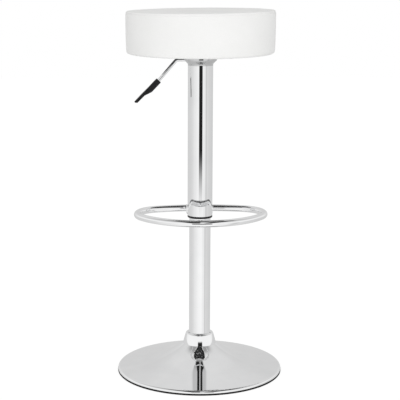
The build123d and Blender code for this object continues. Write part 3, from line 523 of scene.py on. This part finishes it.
def cloth_height(x, y, board_z, lip_z):
    """Height of the cloth's middle layer: flat under the board, stepping down over the lip."""
    r = math.hypot(x, y)
    step = clamped((r - LIP_R + STEP_INSET) / STEP_RUN)
    step = step * step * (3 - 2 * step)
    z = board_z + (lip_z - board_z) * step
    if r > STAPLE_R - PULL_INSET:
        slack = clamped((r - LIP_R + SLACK_INSET) / SLACK_RUN)
        z += slack * PULL_DEPTH * math.cos(STAPLES * math.atan2(y, x))
    if LIP_R - WRINKLE_FROM < r < LIP_R - WRINKLE_TO:
        sag = max(0.0, noise.noise(Vector((x, y, 0.0)) * WRINKLE_RATE))
        z -= WRINKLE_DEPTH * sag * hill(r - LIP_R + WRINKLE_MIDDLE, WRINKLE_HALF)
    return z


def dust_cover():
    """Thin black cloth with bolt holes and a slightly scalloped stapled edge."""
    board_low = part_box("seat_board")[0].z
    lip_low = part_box("seat_cover")[0].z
    bolts = bolt_places()
    flat, edges = [], []

    def loop(points):
        first = len(flat)
        flat.extend(points)
        edges.extend((first + i, first + (i + 1) % len(points)) for i in range(len(points)))

    rim = []
    for a in circle(STAPLES * RIM_POINTS):
        r = CLOTH_R - SCALLOP * (1 - math.cos(STAPLES * a))
        rim.append(Vector((r * math.cos(a), r * math.sin(a))))
    loop(rim)
    for x, y in bolts:
        hole = circle(HOLE_POINTS)
        loop([Vector((x + BOLT_HOLE_R * math.cos(a), y + BOLT_HOLE_R * math.sin(a))) for a in hole])
    for r, count in [(LIP_R + step * MM, LIP_ROW_POINTS) for step in LIP_ROWS] + INNER_ROWS:
        for a in circle(count):
            x, y = r * math.cos(a), r * math.sin(a)
            if min(math.hypot(x - bx, y - by) for bx, by in bolts) > HOLE_MARGIN:
                flat.append(Vector((x, y)))
    flat.append(Vector((0.0, 0.0)))
    filled = geometry.delaunay_2d_cdt(flat, edges, [], INSIDE_RIM, SAME_POINT)
    where, _, triangles, *_ = filled
    board_z = board_low - CLOTH_WALL / 2 - CLOTH_GAP
    lip_z = lip_low - CLOTH_WALL / 2 - CLOTH_GAP
    points = [(p.x, p.y, cloth_height(p.x, p.y, board_z, lip_z)) for p in where]
    kept = [t for t in triangles if not in_hole([where[i] for i in t], bolts)]
    faces = [tuple(reversed(t)) for t in kept]
    piece = finish_piece("dust_cloth", points, faces, "black_cloth", "lift")
    wall = piece.modifiers.new("wall", "SOLIDIFY")
    wall.thickness = CLOTH_WALL
    wall.offset = 0.0
    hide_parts("dust_cover")
    return piece


def staples(cloth_low):
    """Ring of flat wire staples, each with its two legs driven through the cloth."""
    wide, thick, span, bend = 0.6 * MM, 0.5 * MM, 5.0 * MM, 0.5 * MM
    leg, corner, sunk = thick * 2.4, 0.35 * thick, thick * 0.9
    section = [(-wide, 0.0), (wide, 0.0), (wide, thick), (-wide, thick)]
    path = [
        (-span, leg),
        (-span, corner),
        (-span + bend, 0.0),
        (span - bend, 0.0),
        (span, corner),
        (span, leg),
    ]
    points, faces = [], []
    for k in range(STAPLES):
        uneven = 0.12 * noise.noise(Vector((k * 1.7, 0.3, 0.0)))
        angle = 2 * math.pi * (k + uneven) / STAPLES
        lean = 0.22 * noise.noise(Vector((0.4, k * 1.3, 0.0)))
        out = Vector((math.cos(angle), math.sin(angle), 0))
        along = Matrix.Rotation(lean, 3, "Z") @ Vector((-out.y, out.x, 0))
        across = Vector((along.y, -along.x, 0))
        middle = out * STAPLE_R
        first = len(points)
        for index, (run, rise) in enumerate(path):
            inward = -1 if index < 3 else 1
            upright = index in (0, 5)
            for w, t in section:
                place = middle + across * w + along * (run - (inward * t if upright else 0))
                place.z = cloth_low + rise - sunk + (0 if upright else t)
                points.append(tuple(place))
        for index in range(len(path) - 1):
            a, b = first + 4 * index, first + 4 * index + 4
            faces += [(a + i, a + (i + 1) % 4, b + (i + 1) % 4, b + i) for i in range(4)]
        end = first + 4 * (len(path) - 1)
        faces += [tuple(first + i for i in (3, 2, 1, 0)), tuple(end + i for i in range(4))]
    piece = finish_piece("dust_cover_staples", points, faces, "steel", "lift")
    piece.data.polygons.foreach_set("use_smooth", [False] * len(piece.data.polygons))
    return piece


seat_cover()
cloth = dust_cover()
cloth_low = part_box("seat_cover")[0].z - CLOTH_WALL - STAPLE_GAP
wires = staples(cloth_low)


# Studio brightness round the stool by azimuth from the camera's side, in degrees towards +X
STUDIO = [
    (-180, 0.66), (-150, 0.67), (-128, 0.70), (-100, 0.71), (-85, 0.74), (-70, 0.78), (-55, 0.86),
    (-40, 0.89), (-25, 0.95), (-10, 0.99), (18, 1.02), (30, 0.92), (42, 0.92), (48, 0.82),
    (54, 0.66), (60, 0.64), (66, 0.77), (80, 0.72), (110, 0.69), (135, 0.66), (180, 0.66),
]
# Dark opening in front, by azimuth and elevation in degrees
GAP_FROM, GAP_TO, GAP_SOFT = -11.0, 20.0, 0.8
GAP_LOW, GAP_HIGH = -16.0, 11.0
GAP_TONE = 0.018
# Dark beams overhead in front, by elevation and by the way aside for each unit of height
BEAM_LOW, BEAM_HIGH = 24.0, 70.0
BEAMS, BEAM_SOFT, BEAM_MIN_RISE = ((-0.50, 0.03), (0.27, 0.72)), 0.03, 0.05
# Bright band low on the walls
SHELF_LOW, SHELF_HIGH, SHELF_TONE = -1.0, 24.0, 0.98
SHELF_FROM, SHELF_TO, SHELF_SOFT = -130.0, 130.0, 50.0
ELEVATION_SOFT = 2.0
# Ceiling's brightness by elevation as a share of 90 degrees, and what it is behind the stool
CEILING = [(0.0, 0.66), (0.42, 0.62), (0.55, 0.56), (0.68, 0.36), (1.0, 0.33)]
REAR_CEILING, REAR_FROM, REAR_FULL = 0.75, 95.0, 130.0
WALL_END, CEILING_START = 18.0, 48.0
DAYLIGHT = 0.80
# Floor: reach in metres, reflectance to light and to the camera, glow to the camera
FLOOR_HALF = 7.0
FLOOR_WHITE, FLOOR_SHOWN, FLOOR_GLOW = 0.92, 0.22, 0.84
# Distances over which the dark opening comes up in the floor
FLOOR_GAP_NEAR, FLOOR_GAP_FAR = 1.6, 3.5


def studio_light(tree, direction):
    """Brightness, azimuth in degrees and components of a direction from the stool."""
    settings = {"rotation_type": "Z_AXIS"}
    turned = add(tree, "VectorRotate", settings, Vector=direction, Angle=-CAMERA_TURN)
    x, y, z = add(tree, "SeparateXYZ", Vector=turned.outputs[0]).outputs
    azimuth = calc(tree, "ARCTAN2", x, calc(tree, "MULTIPLY", y, -1.0))
    degrees = calc(tree, "DEGREES", azimuth)
    fac = calc(tree, "MULTIPLY_ADD", degrees, 1 / 360, 0.5)
    tone = ramp(tree, fac, [(a / 360 + 0.5, v) for a, v in STUDIO])
    return tone, degrees, (x, y, z)


def band(tree, value, low, high, soft):
    """1 between two values, with a soft edge at each."""
    above = spread(tree, value, low - soft, low + soft, 0.0, 1.0)
    below = spread(tree, value, high - soft, high + soft, 1.0, 0.0)
    return calc(tree, "MULTIPLY", above, below)


def in_gap(tree, degrees):
    """1 inside the dark opening in front of the stool, by azimuth."""
    return band(tree, degrees, GAP_FROM, GAP_TO, GAP_SOFT)


def behind(tree, degrees):
    """1 straight behind the stool, by azimuth."""
    return spread(tree, calc(tree, "ABSOLUTE", degrees), REAR_FROM, REAR_FULL, 0.0, 1.0)


def mix_tone(tree, fac, first, second):
    """Blend of two greys or colours."""
    node = add(tree, "Mix", {"data_type": "RGBA"}, Factor=fac)
    for socket, tone in ((node.inputs[6], first), (node.inputs[7], second)):
        if isinstance(tone, bpy.types.NodeSocket):
            tree.links.new(tone, socket)
        else:
            socket.default_value = (tone, tone, tone, 1)
    return node.outputs[2]


def light_paths(tree):
    """1 for the camera's own rays, and 1 for rays from mirrors or glass."""
    path = tree.nodes.new("ShaderNodeLightPath").outputs
    seen = calc(tree, "ADD", path["Is Glossy Ray"], path["Is Transmission Ray"], clamp=True)
    return path["Is Camera Ray"], seen


def make_world():
    """White to the camera, the studio's walls to mirrors, an even light to the rest."""
    world = bpy.data.worlds.new("studio")
    scene.world = world
    world.use_nodes = True
    tree = world.node_tree
    direction = tree.nodes.new("ShaderNodeTexCoord").outputs["Generated"]
    tone, degrees, (x, y, z) = studio_light(tree, direction)
    high = calc(tree, "DEGREES", calc(tree, "ARCSINE", z))
    front_ceiling = ramp(tree, calc(tree, "DIVIDE", high, 90.0), CEILING)
    ceiling = mix_tone(tree, behind(tree, degrees), front_ceiling, REAR_CEILING)
    overhead = spread(tree, high, WALL_END, CEILING_START, 0.0, 1.0)
    walls = mix_tone(tree, overhead, tone, ceiling)
    shelf_high = band(tree, high, SHELF_LOW, SHELF_HIGH, ELEVATION_SOFT)
    shelf_wide = band(tree, degrees, SHELF_FROM, SHELF_TO, SHELF_SOFT)
    walls = mix_tone(tree, calc(tree, "MULTIPLY", shelf_high, shelf_wide), walls, SHELF_TONE)
    gap_high = band(tree, high, GAP_LOW, GAP_HIGH, ELEVATION_SOFT)
    gap = calc(tree, "MULTIPLY", in_gap(tree, degrees), gap_high)
    aside = calc(tree, "DIVIDE", x, calc(tree, "MAXIMUM", z, BEAM_MIN_RISE))
    first, second = (band(tree, aside, *limits, BEAM_SOFT) for limits in BEAMS)
    beam_high = band(tree, high, BEAM_LOW, BEAM_HIGH, ELEVATION_SOFT)
    ahead = calc(tree, "MULTIPLY", calc(tree, "LESS_THAN", y, 0.0), beam_high)
    beams = calc(tree, "MULTIPLY", ahead, calc(tree, "ADD", first, second))
    mirrored = mix_tone(tree, calc(tree, "ADD", gap, beams, clamp=True), walls, GAP_TONE)
    camera, seen = light_paths(tree)
    shown = mix_tone(tree, camera, mix_tone(tree, seen, DAYLIGHT, mirrored), 1.0)
    background = tree.nodes["Background"]
    tree.links.new(shown, background.inputs["Color"])
    background.inputs["Strength"].default_value = 1.0


def make_floor():
    """Pale floor that keeps the stool's shadow; mirrors see it as bright as the studio's walls."""
    mesh = bpy.data.meshes.new("floor")
    signs = ((-1, -1), (1, -1), (1, 1), (-1, 1))
    corners = [(sx * FLOOR_HALF, sy * FLOOR_HALF, 0) for sx, sy in signs]
    mesh.from_pydata(corners, [], [(0, 1, 2, 3)])
    floor = bpy.data.objects.new("floor", mesh)
    scene.collection.objects.link(floor)
    material = bpy.data.materials.new("pale_floor")
    material.use_nodes = True
    tree = material.node_tree
    tree.nodes.remove(tree.nodes["Principled BSDF"])
    place = tree.nodes.new("ShaderNodeTexCoord").outputs["Object"]
    tone, degrees, _ = studio_light(tree, place)
    distance = add(tree, "VectorMath", {"operation": "LENGTH"}, i0=place).outputs["Value"]
    far = spread(tree, distance, FLOOR_GAP_NEAR, FLOOR_GAP_FAR, 0.0, 1.0)
    gap = calc(tree, "MULTIPLY", in_gap(tree, degrees), far)
    mirrored = mix_tone(tree, gap, tone, GAP_TONE)
    camera, seen = light_paths(tree)
    matt = mix_tone(tree, camera, mix_tone(tree, seen, FLOOR_WHITE, 0.0), FLOOR_SHOWN)
    diffuse = add(tree, "BsdfDiffuse", Color=matt)
    shown = mix_tone(tree, camera, mix_tone(tree, seen, 0.0, mirrored), FLOOR_GLOW)
    glow = add(tree, "Emission", Color=shown)
    both = add(tree, "AddShader", i0=diffuse.outputs[0], i1=glow.outputs[0])
    tree.links.new(both.outputs[0], tree.nodes["Material Output"].inputs["Surface"])
    mesh.materials.append(material)


def soft_lamp(name, place, target, width, height, watts):
    """Area lamp that lights the stool without showing in its chrome."""
    lamp = bpy.data.lights.new(name, "AREA")
    lamp.shape = "RECTANGLE"
    lamp.size = width
    lamp.size_y = height
    lamp.energy = watts
    holder = bpy.data.objects.new(name, lamp)
    holder.location = place
    aim = Vector(target) - Vector(place)
    holder.rotation_euler = aim.to_track_quat("-Z", "Y").to_euler()
    holder.visible_glossy = False
    holder.visible_camera = False
    scene.collection.objects.link(holder)


def make_camera():
    """Camera in front of the stool, turned a little aside, tilted down and rolled."""
    data = bpy.data.cameras.new("camera")
    data.sensor_width = SENSOR_MM
    data.lens = FOCAL_PX / IMAGE_PX * data.sensor_width
    camera = bpy.data.objects.new("camera", data)
    aside = Matrix.Rotation(CAMERA_TURN, 3, "Z")
    camera.location = aside @ Vector((0.0, -CAMERA_BACK, CAMERA_HEIGHT))
    upright = Matrix.Rotation(math.pi / 2 - CAMERA_TILT, 3, "X")
    camera.rotation_euler = (aside @ upright @ Matrix.Rotation(CAMERA_ROLL, 3, "Z")).to_euler()
    scene.collection.objects.link(camera)
    scene.camera = camera


make_world()
make_floor()
soft_lamp("front_soft", (0.0, -3.4, 1.5), (0.0, 0.0, 0.6), width=3.0, height=1.8, watts=31.5)
make_camera()
scene.view_settings.view_transform = "Standard"
